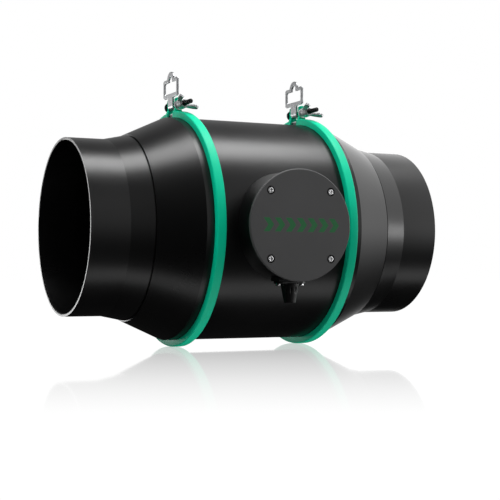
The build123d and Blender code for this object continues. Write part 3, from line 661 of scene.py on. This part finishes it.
def make_channel(x):
    """Rounded channel round the duct, open at the split."""
    shape = bmesh.new()
    corners = [shape.verts.new(Vector((x / MM + u, 0, radius)) * MM) for u, radius in CHANNEL]
    shape.faces.new(corners)
    bmesh.ops.bevel(
        shape, geom=corners[1:3], offset=OUTER_ROUND * MM, segments=4, profile=0.5, affect="VERTICES",
        material=-1,
    )
    start = Matrix.Rotation(SPLIT_ANGLE, 3, "X")
    bmesh.ops.rotate(shape, verts=shape.verts, cent=(0, 0, 0), matrix=start)
    bmesh.ops.spin(
        shape, geom=shape.faces[:], cent=(0, 0, 0), axis=(1, 0, 0), angle=math.tau - 2 * SPLIT_ANGLE,
        steps=BAND_STEPS,
    )
    bmesh.ops.recalc_face_normals(shape, faces=shape.faces)
    return shape


def make_ear(x, start, hole):
    """Upright ear with rounded corners and a bolt hole."""
    shape = bmesh.new()
    corners = [shape.verts.new(Vector((x / MM + u, start, z)) * MM) for u, z in EAR_OUTLINE]
    shape.faces.new(corners)
    bmesh.ops.bevel(
        shape, geom=corners[2:4], offset=EAR_CORNER * MM, segments=5, profile=0.5, affect="VERTICES",
        material=-1,
    )
    bmesh.ops.delete(shape, geom=shape.faces[:], context="FACES_ONLY")
    outline = shape.edges[:]
    rim = ring(shape, 24, BOLT_HOLE, hole + Vector((0, start * MM, 0)))
    plate = bmesh.ops.bridge_loops(shape, edges=outline + rim)["faces"]
    raised = bmesh.ops.extrude_face_region(shape, geom=plate)["geom"]
    far = [part for part in raised if isinstance(part, bmesh.types.BMVert)]
    bmesh.ops.translate(shape, verts=far, vec=(0, EAR_THICKNESS * MM, 0))
    bmesh.ops.recalc_face_normals(shape, faces=shape.faces)
    rims = [edge for edge in shape.edges if edge.calc_face_angle(0) > STEEP]
    bmesh.ops.bevel(
        shape, geom=rims, offset=EDGE_BREAK * MM, segments=2, profile=0.5, affect="EDGES", material=-1
    )
    return shape


for end in ENDS:
    band = make_channel(band_x[end])
    for place in EAR_PLACES:
        ear = make_ear(band_x[end], place, bolt_axis[end])
        carrier = bpy.data.meshes.new("ear")
        ear.to_mesh(carrier)
        ear.free()
        band.from_mesh(carrier)
        bpy.data.meshes.remove(carrier)
    piece = finish_piece(band, f"{end}_clamp_band", crease=50.0)
    print(piece.name, len(piece.data.polygons), "faces")

# %% [markdown]
# ## Hanging eyes, screws and gland
#
# Stamped, rolled and moulded pieces have no knife edges. Their CAD shapes are already right, so a copy is
# welded along its seams and given the same fine skin, with a few smoothing passes to round its edges.
# The table below says how fine the skin is, in millimetres, and how many passes it gets.

# %% Hanging eyes, screws and gland
ROUNDED = {
    "inlet_hanger": (0.2, 4),
    "outlet_hanger": (0.2, 4),
    "cover_screws": (0.14, 2),
    "gland_screws": (0.14, 2),
    "cable_gland": (0.22, 3),
}
for name, (grain, passes) in ROUNDED.items():
    copy = bmesh.new()
    copy.from_mesh(nodes[name].data)
    bmesh.ops.remove_doubles(copy, verts=copy.verts, dist=WELD)
    piece = finish_piece(cast_skin(copy, grain, passes), name, crease=60.0)
    print(piece.name, len(piece.data.polygons), "faces")

# %% [markdown]
# ## Studio walls
#
# Black plastic shows only what it mirrors, so the room matters more than the lamps. The walls are painted
# into the world by direction: white behind the fan, brighter on the right, nearly dark on the camera's
# side but for one soft card. Mirrors see these walls, matt surfaces get a fill that is strongest from
# straight above, and the backdrop that the camera sees is plain white.
#
# A patch is given by the two ranges, of direction components, over which it fades in.


# %% Studio walls
BACK_WALL, BACK_Y, BACK_Z = 1.03, (0.35, 0.8), (-0.12, -0.02)
RIGHT_WALL, RIGHT_X, RIGHT_Z = 1.5, (0.47, 0.56), (-0.4, 0.05)
FRONT_CARD, CARD_RIGHT_X, CARD_LEFT_X = 0.55, (0.42, 0.34), (-0.3, 0.3)
CARD_Y, CARD_Z = (-0.6, -0.8), (-0.3, 0.1)
DARK_WALL = 0.012
SOFT_FILL = 1.7


def wall(tree, across, across_range, upward, upward_range):
    """Patch of the room that fades in over a range of two direction components."""
    return node(
        tree, "ShaderNodeMath", operation="MULTIPLY",
        i0=remap(tree, across, *across_range), i1=remap(tree, upward, *upward_range),
    )


def studio_world():
    """World that is plain white to the camera and a shaped room to the fan."""
    world = bpy.data.worlds.new("studio")
    world.use_nodes = True
    tree = world.node_tree
    facing = node(tree, "ShaderNodeTexCoord", output="Generated")
    axes = node(tree, "ShaderNodeSeparateXYZ", Vector=facing).node.outputs
    behind = wall(tree, axes["Y"], BACK_Y, axes["Z"], BACK_Z)
    above = remap(tree, axes["Z"], 0.1, 0.3, 1.0, 0.3)
    leftward = remap(tree, axes["X"], -0.46, -0.4, 0.25, 1.0)
    for shade in (above, leftward):
        behind = node(tree, "ShaderNodeMath", operation="MULTIPLY", i0=behind, i1=shade)
    right = wall(tree, axes["X"], RIGHT_X, axes["Z"], RIGHT_Z)
    front = wall(tree, axes["X"], CARD_RIGHT_X, axes["X"], CARD_LEFT_X)
    towards = wall(tree, axes["Y"], CARD_Y, axes["Z"], CARD_Z)
    room = DARK_WALL
    for level, part in ((BACK_WALL, behind), (RIGHT_WALL, right)):
        room = node(tree, "ShaderNodeMath", operation="MULTIPLY_ADD", i0=part, i1=level, i2=room)
    front = node(tree, "ShaderNodeMath", operation="MULTIPLY", i0=front, i1=towards)
    room = node(tree, "ShaderNodeMath", operation="MULTIPLY_ADD", i0=front, i1=FRONT_CARD, i2=room)
    height = node(tree, "ShaderNodeMath", operation="ABSOLUTE", i0=axes["Z"])
    height = node(tree, "ShaderNodeMath", operation="POWER", i0=height, i1=2.0)
    fill = node(tree, "ShaderNodeMath", operation="MULTIPLY", i0=height, i1=SOFT_FILL)
    below = remap(tree, axes["Z"], -0.1, 0.1, 0.65, 1.0)
    fill = node(tree, "ShaderNodeMath", operation="MULTIPLY", i0=fill, i1=below)
    rays = node(tree, "ShaderNodeLightPath").node.outputs
    level = node(tree, "ShaderNodeMix", Factor=rays["Is Diffuse Ray"], A=room, B=fill)
    level = node(tree, "ShaderNodeMix", Factor=rays["Is Camera Ray"], A=level, B=1.0)
    background = tree.nodes["Background"]
    background.inputs["Color"].default_value = rgb(1, 1, 1)
    tree.links.new(level, background.inputs["Strength"])
    return world


bpy.context.scene.world = studio_world()
print("room painted")

# %% [markdown]
# ## Table
#
# The fan rests on a white polished table. The table glows by itself, so that it melts into the backdrop
# with no horizon, and a weak mirror layer gives the short reflection under the clamp bands. As on any
# lacquer, the mirror shows only at a glancing angle, so a facing weight fades it out from above.


# %% Table
POLISH = 0.48
POLISH_FRONT = (-0.5, -0.02)
POLISH_BEHIND = (0.25, 0.45)
GRAZING = (0.8, 0.92)
GLOW = 1.03
MIRROR_BLUR = 0.05
TABLE_HALF_WIDTH = 12


def make_floor():
    """Wide glowing table with a weak mirror, which fades towards the camera and behind the fan."""
    shape = bmesh.new()
    bmesh.ops.create_grid(shape, x_segments=1, y_segments=1, size=TABLE_HALF_WIDTH)
    bmesh.ops.translate(shape, verts=shape.verts, vec=(centre.x, 0, FLOOR))
    mesh = bpy.data.meshes.new("floor")
    shape.to_mesh(mesh)
    shape.free()
    table = bpy.data.objects.new("floor", mesh)
    bpy.context.scene.collection.objects.link(table)
    material, tree, shader = new_material("floor")
    tree.nodes.remove(shader)
    depth = node(
        tree, "ShaderNodeVectorMath", operation="DOT_PRODUCT", output="Value",
        i0=node(tree, "ShaderNodeTexCoord", output="Object"), i1=tuple(-back),
    )
    polish = node(
        tree, "ShaderNodeMath", operation="MULTIPLY",
        i0=remap(tree, depth, *POLISH_FRONT, 0.0, POLISH), i1=remap(tree, depth, *POLISH_BEHIND, 1.0, 0.0),
    )
    grazing = node(tree, "ShaderNodeLayerWeight", output="Facing", Blend=0.5)
    grazing = remap(tree, grazing, *GRAZING)
    polish = node(tree, "ShaderNodeMath", operation="MULTIPLY", i0=polish, i1=grazing)
    glossy = node(tree, "ShaderNodeBsdfGlossy", Color=rgb(1, 1, 1), Roughness=MIRROR_BLUR)
    glow = node(tree, "ShaderNodeEmission", Color=rgb(1, 1, 1), Strength=GLOW)
    mixed = node(tree, "ShaderNodeMixShader", i0=polish, i1=glow, i2=glossy)
    tree.links.new(mixed, tree.nodes["Material Output"].inputs["Surface"])
    mesh.materials.append(material)
    table.visible_diffuse = False
    table.visible_glossy = False
    table.visible_shadow = False


make_floor()
print("table laid at", round(FLOOR, 4))

# %% [markdown]
# ## Lamps
#
# A long soft box hangs overhead and draws the broad highlight along the upper front of the casing. A
# strip below the table draws the weaker one below; the table casts no shadow. A small card on the right
# is there only to be mirrored, and a lamp at the upper left only to light, so it is never mirrored. A
# card behind on the left catches the rims and the faces that look along -X.


# %% Lamps
def soft_box(name, place, along, size, radiance):
    """Rectangular light at a place, facing the fan, its width along a direction."""
    lamp = bpy.data.lights.new(name, "AREA")
    lamp.shape = "RECTANGLE"
    lamp.size, lamp.size_y = size
    lamp.energy = radiance * math.pi * size[0] * size[1]
    holder = bpy.data.objects.new(name, lamp)
    holder.location = place
    away = (Vector(place) - centre).normalized()
    width = (Vector(along) - away * away.dot(Vector(along))).normalized()
    holder.rotation_euler = Matrix((width, away.cross(width), away)).transposed().to_euler()
    bpy.context.scene.collection.objects.link(holder)
    return holder


soft_box("overhead", centre + Vector((0.06, -0.1, 1.0)), (1, 0, 0), (1.0, 0.4), 8.5)
soft_box("low_strip", centre + Vector((0.2, -0.4, -0.75)), (1, 0, 0), (1.6, 0.26), 1.0)
right_card = soft_box("right_card", (1.27, -0.68, 0.0), (0, 1, 0), (0.2, 0.24), 10.0)
right_card.visible_diffuse = False
upper_left = soft_box("upper_left", (-1.1, -0.5, 0.9), (0, 1, 0), (0.6, 0.6), 5.0)
upper_left.visible_glossy = False
soft_box("rim_card", (-0.85, 2.8, -0.05), (1, 0, 0), (0.6, 0.8), 4.5)
print("lamps set")
